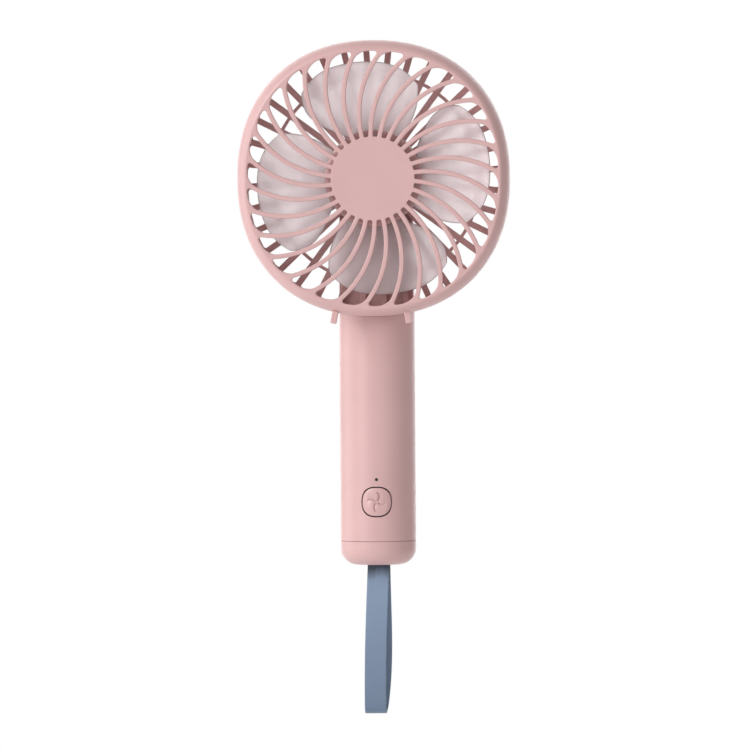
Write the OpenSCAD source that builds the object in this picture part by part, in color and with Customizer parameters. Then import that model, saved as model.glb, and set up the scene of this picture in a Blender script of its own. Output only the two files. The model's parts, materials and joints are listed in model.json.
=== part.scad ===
// Handheld electric fan: a rounded-square guarded head on a round battery handle, with a wrist strap.
// Millimetres. +Z is up, the head blows towards -Y, and the grip's axis is the Z axis.
// The origin lies on the grip's axis, halfway up the grip. Heights in the Handle section
// are counted from the lowest face of the bottom cap.

/* [Head] */
// Width of the head across its flats
head_w = 104.6; // [104:0.2:106]
// Height of the head across its flats
head_h = 106; // [105:0.1:107]
// Squareness of the outline, where 2 is an ellipse
head_power = 2.2; // [2:0.1:2.5]
// Depth of the head from front face to rear face
head_depth = 27; // [26.6:0.2:30]
// Distance from the head's rear face forward of the grip's axis
head_rear_offset = 3; // [2.9:0.05:3.2]
// How far the head's front edge is rounded in from its side
front_round_w = 3.5; // [2.6:0.1:3.5]
// How far back the rounding of the front edge runs
front_round_d = 7; // [4:0.5:8]
// Fullness of the front rounding, where 2 is an ellipse
front_round_power = 1.6; // [1.5:0.1:2]
// Radius of the head's rear edge
rear_round = 2.2; // [1.4:0.1:2.2]
// Wall thickness of the two guards
guard_wall = 1.6; // [1.2:0.1:2]

/* [Guards] */
// Number of curved ribs in the front guard
front_ribs = 30; // [24:1:32]
// Width of a front rib
front_rib_w = 1.75; // [1.4:0.05:1.9]
// Angle that a front rib sweeps on its way out
rib_sweep = 18; // [8:1:24]
// Radius of the plain disc in the middle of the front guard
disc_r = 16.1; // [14:0.1:17]
// Thickness of the guards' faces
face_t = 2.2; // [1.6:0.1:2.4]
// Width of the solid band around the front guard's slots
rim_band = 4.1; // [3.9:0.1:5]
// Number of straight spokes in the rear guard
rear_spokes = 36; // [24:2:36]
// Width of a rear spoke
rear_spoke_w = 2.4; // [1.4:0.1:2.4]
// Radius of the ring that ties the rear spokes together
tie_ring_r = 40.2; // [36:0.2:42]

/* [Impeller] */
// Number of blades
blades = 4; // [3:1:4]
// Outer radius of the hub
hub_r = 18.5; // [18:0.1:19]
// Greatest radius of a blade
blade_tip_r = 46.2; // [42:0.1:47]
// Depth of a blade along the axis at its root
blade_depth = 11; // [8:0.5:11]

/* [Handle] */
// Diameter of the grip
grip_d = 29; // [28.6:0.1:30]
// Height of the head's centre above the cap's lowest face
head_centre_h = 149.1; // [148.6:0.1:152]
// Height of the bottom cap
cap_h = 9.3; // [8.8:0.1:9.6]
// Rounding of the cap's lower edge
cap_round = 6.5; // [4:0.5:6.5]
// Height of the power button's centre
button_h = 24.5; // [24:0.1:25]
// Width of the power button
button_w = 10.8; // [10:0.1:11.2]
// Squareness of the button's outline, where 2 is a circle
button_power = 2.5; // [2:0.1:4]
// Travel of the power button
button_travel = 0.4; // [0.2:0.05:0.4]
// Height of the indicator light
led_h = 33.1; // [32.6:0.1:34]
// Height of the charging port
port_h = 17.6; // [17.4:0.1:17.8]

/* [Strap] */
// Width of the strap band
strap_w = 8.3; // [7:0.1:9]
// Thickness of the strap band
strap_t = 1.4; // [1:0.1:1.5]
// Length of the loop below the cap
strap_drop = 57.5; // [40:0.5:80]

/* [Hidden] */

$fn = 96;
cut = 1; // how far a cutting shape runs past what it cuts

shell_pink = [0.84, 0.69, 0.68];
shade_pink = [0.62, 0.45, 0.43];
frost_white = [0.86, 0.79, 0.80];
strap_blue = [0.50, 0.57, 0.66];
steel_grey = [0.72, 0.73, 0.75];
copper = [0.72, 0.40, 0.22];
board_green = [0.10, 0.35, 0.22];
soft_black = [0.12, 0.12, 0.13];

// Heights above the cap's lowest face become Z values
grip_mid_h = 52;
function up(h) = h - grip_mid_h;
head_z = up(head_centre_h);

// Stations along Y through the head, from the front face to the rear
rear_y = -head_rear_offset;
front_y = rear_y - head_depth;
split_y = rear_y - 13.4;       // where the two guards meet
lip_l = 3;                     // length of the rear guard's lip inside the front guard
lip_gap = 0.15;
cap_front_y = front_y + face_t + 1;
hub_back_y = rear_y - 9.6;
base_y = hub_back_y + 0.7;     // front face of the motor's base
outline_steps = 96;

// ---- Shared shapes ----

// A flat outline in X and Z, given thickness from y0 to y1
module slab(y0, y1, z = 0, x = 0) {
    translate([x, y1, z]) rotate([90, 0, 0]) linear_extrude(y1 - y0) children();
}

module disc(r, y0, y1, z = 0, x = 0) {
    translate([x, y1, z]) rotate([90, 0, 0]) cylinder(r = r, h = y1 - y0);
}

module tube_y(r_out, r_in, y0, y1, z = 0) {
    difference() {
        disc(r_out, y0, y1, z);
        disc(r_in, y0 - cut, y1 + cut, z);
    }
}

function squircle(w, power) = [
    for (a = [0:4:356])
        w / 2 / pow(pow(abs(sin(a)), power) + pow(abs(cos(a)), power), 1 / power) * [sin(a), cos(a)]];

module rounded_rect(w, h, r) {
    square([w - 2 * r, h], center = true);
    square([w, h - 2 * r], center = true);
    for (x = [-1, 1], y = [-1, 1]) translate([x * (w / 2 - r), y * (h / 2 - r)]) circle(r, $fn = 32);
}

// Radius of the head's outline in a direction counted clockwise from the top
function outline_r(a, inset) = 1 / pow(
    pow(abs(sin(a)) / (head_w / 2 - inset), head_power)
    + pow(abs(cos(a)) / (head_h / 2 - inset), head_power), 1 / head_power);
function polar(r, a) = [r * sin(a), r * cos(a)];
function reversed(v) = [for (i = [len(v) - 1:-1:0]) v[i]];
function outline(inset) = [
    for (i = [0:outline_steps - 1])
        let(a = i * 360 / outline_steps) polar(outline_r(a, inset), a)];

// Profile points of a rounded edge at y_end, w wide and d deep, from the head's side to its face
function rounding(y_end, way, inset, w, d, power, step) = [
    for (a = [0:step:90])
        [y_end - way * d * (1 - pow(sin(a), 2 / power)), inset + w * (1 - pow(cos(a), 2 / power))]];

// A ring round the head, whose profile is a closed run of [Y, inset] points with Y rising on its outside
module head_ring(profile) {
    n = outline_steps;
    m = len(profile);
    points = [for (s = profile, p = outline(s[1])) [p[0], s[0], p[1]]];
    faces = [for (j = [0:m - 1], i = [0:n - 1])
        let(
            a = j * n + i,
            b = j * n + (i + 1) % n,
            c = (j + 1) % m * n + i,
            d = (j + 1) % m * n + (i + 1) % n)
        each [[a, c, b], [b, c, d]]];
    translate([0, 0, head_z]) polyhedron(points = points, faces = faces);
}

// A round wire or cord core swept along points that keep the same X
function ring_at(points, i, r, sides) =
    let(
        a = points[max(i - 1, 0)],
        b = points[min(i + 1, len(points) - 1)],
        t = (b - a) / norm(b - a),
        n = [1, 0, 0],
        m = cross(t, n))
    [for (k = [0:sides - 1]) points[i] + r * (n * cos(k * 360 / sides) + m * sin(k * 360 / sides))];

module wire(points, r, sides = 8) {
    last = len(points) - 1;
    polyhedron(
        points = [for (i = [0:last]) each ring_at(points, i, r, sides)],
        faces = concat(
            [[for (k = [0:sides - 1]) sides - 1 - k]],
            [[for (k = [0:sides - 1]) last * sides + k]],
            [for (i = [0:last - 1], k = [0:sides - 1])
                let(a = i * sides, n = (k + 1) % sides)
                    each [[a + k, a + n, a + sides + n], [a + k, a + sides + n, a + sides + k]]]));
}

// ---- Front guard ----

grille_inset = front_round_w + 0.1; // where the flat grille meets its rounded rim

slot_r0 = disc_r;
slot_steps = 6;
slot_fillet_left = 2.6;
slot_fillet_right = 1.6;
slot_fillet_inner = 0.5;
rib_phase = 9.75;

// Clockwise angle of rib k's centre line at radius r, and half a rib's width as an angle
function rib_t(r) = max(0, (r - slot_r0) / (head_w / 2 - rim_band - slot_r0));
function rib_angle(k, r) = rib_phase + k * 360 / front_ribs + rib_sweep * pow(rib_t(r), 1.5);
function rib_lean(r) = atan(r * (rib_angle(0, r + 0.1) - rib_angle(0, r)) / 0.1 * PI / 180);
function rib_half(r) = asin(front_rib_w / 2 / cos(rib_lean(r)) / r);
function slot_angle(k, u, r) =
    (1 - u) * (rib_angle(k, r) + rib_half(r)) + u * (rib_angle(k + 1, r) - rib_half(r));
function slot_end(k) = outline_r(slot_angle(k, 0.5, head_w / 2 - rim_band), rim_band);
function corner(f, d) = f * (1 - sqrt(max(0, 1 - d * d)));
function slot_top(k, u) = slot_end(k)
    - corner(slot_fillet_left, max(0, 1 - u / 0.5))
    - corner(slot_fillet_right, max(0, (u - 0.74) / 0.26));
function slot_side(k, u, fillet) =
    let(low = slot_r0 + slot_fillet_inner, high = slot_end(k) - fillet)
    [for (i = [0:slot_steps])
        let(r = low + i / slot_steps * (high - low)) polar(r, slot_angle(k, u, r))];
function slot_outline(k) = concat(
    slot_side(k, 0, slot_fillet_left),
    [for (u = [0.08, 0.2, 0.35, 0.5, 0.74, 0.86, 0.95])
        let(r = slot_top(k, u)) polar(r, slot_angle(k, u, r))],
    reversed(slot_side(k, 1, slot_fillet_right)),
    [for (u = [0.8, 0.2]) polar(slot_r0, slot_angle(k, u, slot_r0))]);

// A flat tab below the rim, which leans outwards. Its tip is centred at x.
module finger_tab(x) {
    tab_w = 2.4;
    tab_l = 4.9;
    tab_drop = 2.6;
    translate([x, front_y + 4.9, head_z - head_h / 2 - tab_drop])
        rotate([0, sign(x) * -11, 0])
            translate([0, 0, tab_l / 2]) cube([tab_w, 3, tab_l], center = true);
}

module front_grille() color(shell_pink) {
    slab(front_y, front_y + face_t, head_z) difference() {
        polygon(outline(grille_inset));
        for (k = [0:front_ribs - 1]) polygon(slot_outline(k));
    }
}

module front_rim() color(shell_pink) {
    back = front_y + face_t;
    head_ring(concat(
        [[front_y, grille_inset]],
        reversed(rounding(front_y, -1, 0, front_round_w, front_round_d, front_round_power, 15)),
        [[split_y, 0], [split_y, guard_wall], [back + 3.3, guard_wall]],
        [[back, guard_wall + 1.4], [back, grille_inset]]));
    for (x = [-15.7, 13.5]) finger_tab(x);
}

// ---- Rear guard ----

rear_inset = 0.4;
rear_ring_inset = 2.7; // inner face of the rear rim
rear_gap_inset = 3.2;  // outer ends of the rear openings
pod_r = 17.3;
pod_wall = 1.5;
pod_floor_t = 1.8;
screw_circle_r = 8.5;
screw_pilot_r = 1.05;
motor_screw_r = 12.6;
lead_hole_r = 2.2;
lead_hole_z = -8.2;
rear_phase = 6.25;

function spoke_half(r) = asin(rear_spoke_w / 2 / r);
function gap_edge(i, side, r) =
    let(step = 360 / rear_spokes) step * (i + 0.5) + side * (step / 2 - spoke_half(r));
function gap_outline(i, r0, r1) = [
    for (p = [[r0, -1], [r1, -1], [r1, 0], [r1, 1], [r0, 1], [r0, 0]])
        let(a = gap_edge(i, p[1], p[0])) polar(p[0], a + rear_phase)];

module rear_gaps() {
    for (i = [0:rear_spokes - 1]) {
        a = gap_edge(i, 0, tie_ring_r) + rear_phase;
        polygon(gap_outline(i, pod_r + 0.4, tie_ring_r - 0.65));
        polygon(gap_outline(i, tie_ring_r + 0.65, outline_r(a, rear_gap_inset)));
    }
}

module screw_places(r, first) {
    for (a = [first, first + 120, first + 240]) translate([r * sin(a), 0, head_z + r * cos(a)]) children();
}

module rear_grille() color(shade_pink) {
    slab(rear_y - face_t, rear_y, head_z) difference() {
        polygon(outline(rear_ring_inset));
        rear_gaps();
        circle(pod_r + 0.01);
    }
}

module rear_rim() color(shade_pink) {
    inner = rear_ring_inset;
    lip = guard_wall + lip_gap;
    head_ring(concat(
        [[split_y - lip_l, inner], [split_y - lip_l, lip], [split_y + 0.3, lip]],
        [[split_y + 0.3, rear_inset]],
        rounding(rear_y, 1, rear_inset, rear_round, rear_round, 2, 30),
        [[rear_y, inner]]));
}

// The cup in the middle of the rear guard, which the motor is screwed into
module motor_pod() color(shade_pink) {
    difference() {
        disc(pod_r, base_y, rear_y, head_z);
        disc(pod_r - pod_wall, base_y - cut, rear_y - pod_floor_t, head_z);
        screw_places(screw_circle_r, 0) disc(screw_pilot_r, rear_y - 6, rear_y + cut);
        disc(lead_hole_r, rear_y - 6, rear_y + cut, head_z + lead_hole_z);
    }
    // Posts that take the motor's screws
    screw_places(motor_screw_r, 60) tube_y(2.2, 0.8, base_y + 1.8, rear_y - pod_floor_t + 0.1);
}

// ---- Impeller ----

sleeve_r = hub_r - 0.1;
sleeve_in_r = 17;
hub_top_t = 1.4;
hub_skirt = 1.9;
blade_mid_y = (cap_front_y + hub_back_y) / 2 + 1;
blade_u_steps = 8;
blade_v_steps = 6;
blade_phase = -5.6; // where the first blade rests, clockwise from the top

module hub_cap() color(shade_pink) {
    edge = 0.8;
    translate([0, cap_front_y, head_z]) rotate([-90, 0, 0]) rotate_extrude()
        polygon([[0, 0], [hub_r - edge, 0], [hub_r - 0.25, 0.25], [hub_r, edge],
            [hub_r, hub_skirt], [hub_r - 0.9, hub_skirt], [hub_r - 0.9, hub_top_t], [0, hub_top_t]]);
}

// A blade is a bent petal. u runs from its leading to its trailing edge, v from root to tip.
function blade_tip(u) = blade_tip_r - 2.2 * u - (u < 0.5 ? 3.4 : 4.4) * pow(abs(2 * u - 1), 5);
function blade_r(u, v) = sleeve_r - 0.7 + v * (blade_tip(u) - sleeve_r + 0.7);
function blade_lead(r) = -41 + 0.064 * pow(r - 33, 2);
function blade_trail(r) = 41 - 0.021 * pow(r - hub_r, 2);
function blade_y(u, r) =
    let(depth = blade_depth * (1 - 0.35 * (r - hub_r) / (blade_tip_r - hub_r)))
    blade_mid_y + depth * (0.5 - u) - 1.6 * 4 * u * (1 - u);
function blade_half_t(u, v) = (0.75 - 0.3 * v) * (0.45 + 0.55 * pow(max(0, 4 * u * (1 - u)), 0.5));
function blade_point(u, v, side) =
    let(r = blade_r(u, v), p = polar(r, (1 - u) * blade_lead(r) + u * blade_trail(r)))
    [p[0], blade_y(u, r) + side * blade_half_t(u, v), p[1]];

module blade() {
    nu = blade_u_steps + 1;
    nv = blade_v_steps + 1;
    back = nu * nv;
    polyhedron(
        points = [for (side = [-1, 1], j = [0:nv - 1], i = [0:nu - 1])
            blade_point(i / blade_u_steps, j / blade_v_steps, side)],
        faces = concat(
            [for (j = [0:nv - 2], i = [0:nu - 2]) let(a = j * nu + i)
                each [[a, a + nu, a + 1], [a + 1, a + nu, a + nu + 1]]],
            [for (j = [0:nv - 2], i = [0:nu - 2]) let(a = back + j * nu + i)
                each [[a, a + 1, a + nu], [a + 1, a + nu + 1, a + nu]]],
            [for (j = [0:nv - 2], i = [0, nu - 1]) let(a = j * nu + i, b = a + nu)
                each i == 0
                    ? [[a, a + back, b], [b, a + back, b + back]]
                    : [[a, b, a + back], [b, b + back, a + back]]],
            [for (i = [0:nu - 2], j = [0, nv - 1]) let(a = j * nu + i, b = a + 1)
                each j == 0
                    ? [[a, b, a + back], [b, b + back, a + back]]
                    : [[a, a + back, b], [b, a + back, b + back]]]));
}

module impeller() color(frost_white) {
    tube_y(hub_r - 0.95, sleeve_in_r, cap_front_y + hub_top_t + 0.1, hub_back_y, head_z);
    tube_y(sleeve_r, sleeve_in_r, cap_front_y + hub_skirt + 0.1, hub_back_y, head_z);
    for (i = [0:blades - 1]) translate([0, 0, head_z]) rotate([0, i * 360 / blades + blade_phase, 0]) blade();
}

// ---- Motor ----

shaft_r = 1;
bearing_r = 3;
bearing_w = 2.5;
tube_r = 4;
cup_r = sleeve_in_r - 0.05;
cup_t = 1;
cup_front_y = cap_front_y + 1.5;
magnet_t = 1.3;
stator_r = cup_r - cup_t - magnet_t - 0.7;
stack_y0 = cup_front_y + 3.6;
stack_y1 = stack_y0 + 5;
poles = 9;
tube_front_y = cup_front_y + 2.4;
tube_back_y = base_y + 3.4;

module rotor_cup() color(steel_grey) {
    difference() {
        disc(cup_r, cup_front_y, hub_back_y - 0.6, head_z);
        disc(cup_r - cup_t, cup_front_y + cup_t, hub_back_y, head_z);
        disc(shaft_r, cup_front_y - cut, cup_front_y + 2 * cut, head_z);
    }
    tube_y(2.6, shaft_r, cup_front_y + cup_t - 0.1, cup_front_y + 2.1, head_z);
}

module rotor_magnet() color(soft_black) {
    tube_y(cup_r - cup_t, cup_r - cup_t - magnet_t, cup_front_y + 2.6, hub_back_y - 1, head_z);
}

module motor_shaft() color(steel_grey) {
    groove_y = tube_back_y + 0.4;
    difference() {
        disc(shaft_r, cup_front_y, tube_back_y + 1.6, head_z);
        tube_y(shaft_r + cut, shaft_r - 0.25, groove_y, groove_y + 0.5, head_z);
    }
}

module shaft_clip() color(steel_grey) {
    difference() {
        tube_y(1.9, shaft_r - 0.23, tube_back_y + 0.44, tube_back_y + 0.86, head_z);
        translate([0, tube_back_y + 0.6, head_z - 1.5]) cube([1.1, 2, 2.4], center = true);
    }
}

module motor_bearings() color(steel_grey) {
    for (y = [tube_front_y, tube_back_y - bearing_w])
        tube_y(bearing_r, shaft_r + 0.03, y, y + bearing_w, head_z);
}

module bearing_tube() color(steel_grey) {
    difference() {
        disc(tube_r, tube_front_y, tube_back_y, head_z);
        disc(bearing_r, tube_front_y - cut, tube_front_y + bearing_w, head_z);
        disc(bearing_r, tube_back_y - bearing_w, tube_back_y + cut, head_z);
        disc(bearing_r - 0.6, tube_front_y, tube_back_y, head_z);
    }
}

module pole_places() {
    for (i = [0:poles - 1]) rotate(i * 360 / poles) children();
}

module stator_core() color(steel_grey) {
    slab(stack_y0, stack_y1, head_z) difference() {
        union() {
            circle(6);
            intersection() {
                union() {
                    difference() {
                        circle(stator_r);
                        circle(stator_r - 1.2);
                    }
                    pole_places() translate([-1.1, 4]) square([2.2, stator_r - 4.4]);
                }
                pole_places() polygon([[0, 0], polar(30, -17), polar(30, 17)]);
            }
        }
        circle(tube_r);
    }
}

module stator_coils() color(copper) {
    for (i = [0:poles - 1]) translate([0, 0, head_z]) rotate([0, i * 360 / poles, 0]) {
        difference() {
            translate([-2.2, stack_y0 - 1, 7]) cube([4.4, stack_y1 - stack_y0 + 2, stator_r - 1.4 - 7]);
            translate([-1.12, stack_y0 - 0.02, 6]) cube([2.24, stack_y1 - stack_y0 + 0.04, stator_r]);
        }
    }
}

module motor_board() color(board_green) {
    board_y = base_y - 1.2;
    difference() {
        disc(10.5, board_y, base_y - 0.2, head_z);
        disc(tube_r + 0.1, board_y - cut, base_y + cut, head_z);
    }
}

module motor_base() color(steel_grey) {
    difference() {
        union() {
            disc(pod_r - pod_wall - 0.1, base_y, base_y + 1.8, head_z);
            disc(6, base_y + 1, tube_back_y - 0.4, head_z);
        }
        disc(tube_r, base_y - cut, tube_back_y, head_z);
        screw_places(motor_screw_r, 60) disc(1.1, base_y - cut, base_y + 3);
        disc(lead_hole_r, base_y - cut, base_y + 3, head_z + lead_hole_z);
    }
}

module pan_screw(head_r, head_t, shank_r, length, y) {
    difference() {
        disc(head_r, y - head_t, y);
        slab(y - head_t - cut, y - head_t / 2) {
            square([2.2, 0.5], center = true);
            square([0.5, 2.2], center = true);
        }
    }
    disc(shank_r, y - 0.01, y + length);
}

module motor_screws() color(steel_grey) {
    screw_places(motor_screw_r, 60) pan_screw(1.7, 0.9, 0.78, 4, base_y);
}

module motor_leads() color(soft_black) {
    start_z = head_z + lead_hole_z;
    for (x = [-1.2, 0, 1.2])
        wire([[x, base_y - 0.1, start_z], [x, base_y + 3, start_z], [x, rear_y + 2, start_z],
            [x, rear_y + 5, start_z - 1], [x, rear_y + 7.5, start_z - 4], [x, 4.8, start_z - 9],
            [x, 5, up(112)], [x, 3.6, up(99)], [x, 1.4, up(95)], [x, 0, up(92.8)], [x, -2, up(92)],
            [x, -5, up(91.4)], [x, -7.2, up(89.6)], [x, -8.4, up(86)], [x, -8.4, up(60)],
            [x, -7.9, up(46)], [x, -7, up(43.2)], [x, -7, up(41)]], 0.5);
}

// ---- Handle ----

grip_r = grip_d / 2;
grip_in_r = grip_r - 2;
spine_face_y = rear_y + 0.2;
cover_t = 2;
cover_half_w = grip_r - 1.6;
cover_low_h = 98;
grip_top_h = 95.4;             // where the straight grip ends, just below the head
spine_taper = 0.3;
channel_r = grip_in_r - 0.6;
bay_top_h = 93.5;
saddle_gap = 0.3;
seam_gap = 0.12;
button_gap = 0.5;
led_pipe_r = 0.6;

// A round bar with a domed end, which the spine and its channel are cut from. It thins a little on its
// way up from the grip's straight part.
module domed_bar(r, h0) {
    translate([0, 0, up(h0)]) cylinder(r = r, h = up(grip_top_h) - up(h0));
    translate([0, 0, up(grip_top_h)])
        cylinder(r1 = r, r2 = r - spine_taper, h = head_z - up(grip_top_h));
    translate([0, 0, head_z]) sphere(r - spine_taper);
}

module behind(y) {
    translate([-50, y, -200]) cube([100, 100, 500]);
}

module cover_outline(extra) {
    circle(cover_half_w + extra);
    translate([-cover_half_w - extra, up(cover_low_h) - head_z - extra])
        square([2 * (cover_half_w + extra), head_z - up(cover_low_h) + extra]);
}

module spine_cover() color(shell_pink) {
    difference() {
        slab(spine_face_y, spine_face_y + cover_t - 0.1, head_z) cover_outline(0);
        screw_places(screw_circle_r, 0) disc(screw_pilot_r, spine_face_y - cut, spine_face_y + 3);
        disc(lead_hole_r, spine_face_y - cut, spine_face_y + 3, head_z + lead_hole_z);
    }
}

module shell_hollow() {
    translate([0, 0, up(cap_h) - cut]) cylinder(r = grip_in_r, h = up(bay_top_h) - up(cap_h) + cut);
    intersection() {
        domed_bar(channel_r, bay_top_h - cut);
        behind(spine_face_y + cover_t);
    }
    slab(spine_face_y - cut, spine_face_y + cover_t + 0.01, head_z) cover_outline(0.1);
}

module handle_shell() color(shell_pink) {
    difference() {
        domed_bar(grip_r, cap_h);
        slab(-40, spine_face_y, head_z) polygon(outline(-saddle_gap));
        shell_hollow();
        slab(-grip_r - cut, -grip_in_r + cut, up(button_h))
            polygon(squircle(button_w + 2 * button_gap, button_power));
        disc(led_pipe_r + 0.03, -grip_r - cut, -grip_in_r + cut, up(led_h));
        slab(grip_in_r - cut, grip_r + cut, up(port_h)) rounded_rect(9.5, 3.7, 1.6);
    }
    // Bosses that take the head's screws
    intersection() {
        screw_places(screw_circle_r, 0) tube_y(2.5, 0.9, spine_face_y + cover_t, grip_r);
        domed_bar(grip_r - 0.5, bay_top_h);
    }
}

module head_screws() color(steel_grey) {
    screw_places(screw_circle_r, 0) pan_screw(1.8, 1.1, 0.88, 9, rear_y - pod_floor_t);
}

// ---- Button, light and boards ----

board_front_y = -8.6;
board_t = 1;
switch_front_y = -10.9;
plunger_front_y = switch_front_y - button_travel - 0.2;

// A small pinwheel mark of four curved strokes
module swirl_mark() {
    stroke_r = 2.2;
    stroke_w = 0.55;
    for (i = [0:3]) rotate(i * 90) intersection() {
        translate([1 - stroke_r, 2.1]) difference() {
            circle(stroke_r + stroke_w / 2, $fn = 40);
            circle(stroke_r - stroke_w / 2, $fn = 40);
        }
        translate([-0.4, 0.5]) square([2, 3.2]);
    }
}

module power_button() color(shell_pink) {
    difference() {
        union() {
            intersection() {
                slab(-grip_r, -grip_in_r + 0.3, up(button_h)) polygon(squircle(button_w, button_power));
                translate([0, 0, up(0)]) cylinder(r = grip_r - 0.1, h = 60);
            }
            slab(-grip_in_r + 0.2, -grip_in_r + 0.9, up(button_h)) rounded_rect(5, 8, 1);
        }
        slab(-grip_r - cut, -grip_r + 0.6, up(button_h)) swirl_mark();
    }
}

module switch_plunger() color(soft_black) {
    disc(1.6, plunger_front_y, switch_front_y + 0.9, up(button_h));
}

module tact_switch() color(soft_black) {
    difference() {
        slab(switch_front_y, board_front_y, up(button_h)) rounded_rect(6, 6, 0.4);
        disc(1.66, switch_front_y - cut, switch_front_y + 1.5, up(button_h));
    }
}

module main_board() color(board_green) {
    slab(board_front_y, board_front_y + board_t, up(29.2)) rounded_rect(14.4, 25.6, 0.8);
    slab(board_front_y + board_t, board_front_y + board_t + 0.6, up(38)) square([4, 3], center = true);
}

module indicator_led() color(frost_white) {
    slab(board_front_y - 0.8, board_front_y, up(led_h)) square([1.6, 0.8], center = true);
}

module light_pipe() color(soft_black) {
    disc(led_pipe_r, -grip_r + 0.25, -grip_in_r, up(led_h));
    disc(1.3, -grip_in_r + 0.35, board_front_y - 0.9, up(led_h));
    disc(led_pipe_r, -grip_in_r - 0.1, -grip_in_r + 0.4, up(led_h));
}

// ---- Battery ----

cell_r = 9.1;
cell_y = 3.2;
cell_low_h = 25.4;
cell_l = 65;

module battery_cell() color(strap_blue) {
    translate([0, cell_y, up(cell_low_h)]) {
        cylinder(r = cell_r, h = cell_l - 1.2);
        cylinder(r = 3, h = cell_l - 0.2);
    }
}

module battery_tabs() color(steel_grey) {
    for (h = [cell_low_h - 0.2, cell_low_h + cell_l - 0.2])
        translate([-2.5, cell_y - 6, up(h)]) cube([5, 8, 0.2]);
}

module battery_foam() color(soft_black) {
    pad_low_h = cell_low_h + cell_l;
    translate([0, cell_y + 3, up(pad_low_h)]) cylinder(r = 4.5, h = bay_top_h - pad_low_h);
}

module battery_leads() color([0.7, 0.1, 0.1]) {
    lead_y = cell_y - cell_r - 0.9;
    wire([[3.2, lead_y + 0.3, up(90)], [3.2, lead_y - 0.2, up(86)], [3.2, lead_y - 0.2, up(60)],
        [3.2, lead_y - 0.2, up(46)], [3.2, board_front_y + board_t + 0.5, up(40)]], 0.45);
    wire([[-5.5, lead_y + 1.2, up(25.9)], [-5.5, lead_y + 0.4, up(27.5)],
        [-5.5, board_front_y + board_t + 0.5, up(31)]], 0.45);
}

module battery_carrier() color(frost_white) {
    difference() {
        translate([0, 0, up(22.8)]) cylinder(r = grip_in_r - 0.2, h = 2.4);
        translate([-8, -14, up(22)]) cube([16, 14 - 5.6, 6]);
    }
}

// ---- Charging port ----

charge_board_h = port_h - 2.6;

module charge_board() color(board_green) {
    translate([0, 0, up(charge_board_h)]) difference() {
        cylinder(r = grip_in_r - 0.3, h = 1);
        translate([-8, -14, -cut]) cube([16, 14 - 7, 3]);
    }
}

module charge_port() color(steel_grey) {
    difference() {
        slab(grip_r - 7.9, grip_r - 0.5, up(port_h)) rounded_rect(8.94, 3.2, 1.4);
        slab(grip_r - 6.9, grip_r, up(port_h)) rounded_rect(8.34, 2.6, 1.2);
    }
    slab(grip_r - 7, grip_r - 2, up(port_h)) square([6.6, 0.7], center = true);
}

module board_link() color(soft_black) {
    for (x = [-4, -2.5, 2.5, 4])
        wire([[x, board_front_y + board_t + 0.6, up(charge_board_h + 6)],
            [x, board_front_y + board_t + 1.6, up(charge_board_h + 4)],
            [x, board_front_y + board_t + 2.6, up(charge_board_h + 1.6)]], 0.4);
}

// ---- Cap and strap ----

pin_h = 3.5;
pin_r = 1;
pocket_half_x = strap_w / 2 + 0.6;
pocket_half_y = 5.2;
eye_in_r = pin_r + 0.06;
loop_in_r = 3.2;
loop_z = up(-strap_drop) + loop_in_r + strap_t;

module bottom_cap() color(shell_pink) {
    rim = cap_h - seam_gap;
    difference() {
        translate([0, 0, up(0)]) union() {
            rotate_extrude() polygon(concat(
                [[0, 0]],
                [for (a = [0:7.5:90]) [grip_r - cap_round * (1 - sin(a)), cap_round * (1 - cos(a))]],
                [[grip_r, rim - 0.12], [grip_r - 0.12, rim], [0, rim]]));
            translate([0, 0, cap_h - 2]) cylinder(r = grip_in_r - 0.06, h = 5.4);
        }
        translate([0, 0, up(cap_h - 0.6)]) cylinder(r = grip_in_r - 1.6, h = 6);
        translate([-pocket_half_x, -pocket_half_y, up(-cut)])
            cube([2 * pocket_half_x, 2 * pocket_half_y, 6.9 + cut]);
        translate([-8, 0, up(pin_h)]) rotate([0, 90, 0]) cylinder(r = pin_r, h = 16);
    }
}

module strap_pin() color(steel_grey) {
    translate([-8, 0, up(pin_h)]) rotate([0, 90, 0]) cylinder(r = pin_r, h = 16);
}

// A belt shape around a small upper circle and a larger lower one, both centred on Y = 0
module belt(r_top, r_low, w) {
    top = up(pin_h);
    lean = asin((r_low - r_top) / (top - loop_z));
    translate([-w / 2, 0, 0]) rotate([90, 0, 90]) linear_extrude(w) {
        translate([0, top]) circle(r_top);
        translate([0, loop_z]) circle(r_low);
        polygon([
            [r_top * cos(lean), top + r_top * sin(lean)],
            [-r_top * cos(lean), top + r_top * sin(lean)],
            [-r_low * cos(lean), loop_z + r_low * sin(lean)],
            [r_low * cos(lean), loop_z + r_low * sin(lean)]]);
    }
}

module strap() color(strap_blue) {
    difference() {
        belt(eye_in_r + strap_t, loop_in_r + strap_t, strap_w);
        belt(eye_in_r, loop_in_r, strap_w + 2 * cut);
    }
}

front_grille();
front_rim();
rear_grille();
rear_rim();
motor_pod();
hub_cap();
impeller();
rotor_cup();
rotor_magnet();
motor_shaft();
shaft_clip();
motor_bearings();
bearing_tube();
stator_core();
stator_coils();
motor_board();
motor_base();
motor_screws();
motor_leads();
head_screws();
spine_cover();
handle_shell();
power_button();
switch_plunger();
tact_switch();
main_board();
indicator_led();
light_pipe();
battery_cell();
battery_tabs();
battery_foam();
battery_leads();
battery_carrier();
charge_board();
charge_port();
board_link();
bottom_cap();
strap_pin();
strap();
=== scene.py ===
"""Looks for a handheld electric fan: moulded pink guards, frosted blades, a round grip and a flat strap.

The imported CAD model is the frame. Its exact parts stay where their shape is right, and finer meshes stand
for the guards, the impeller and the strap. Lengths are metres, +Z is up, and the head faces -Y.
"""
import json
import math

import bmesh
import bpy
from mathutils import Matrix, Vector


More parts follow.
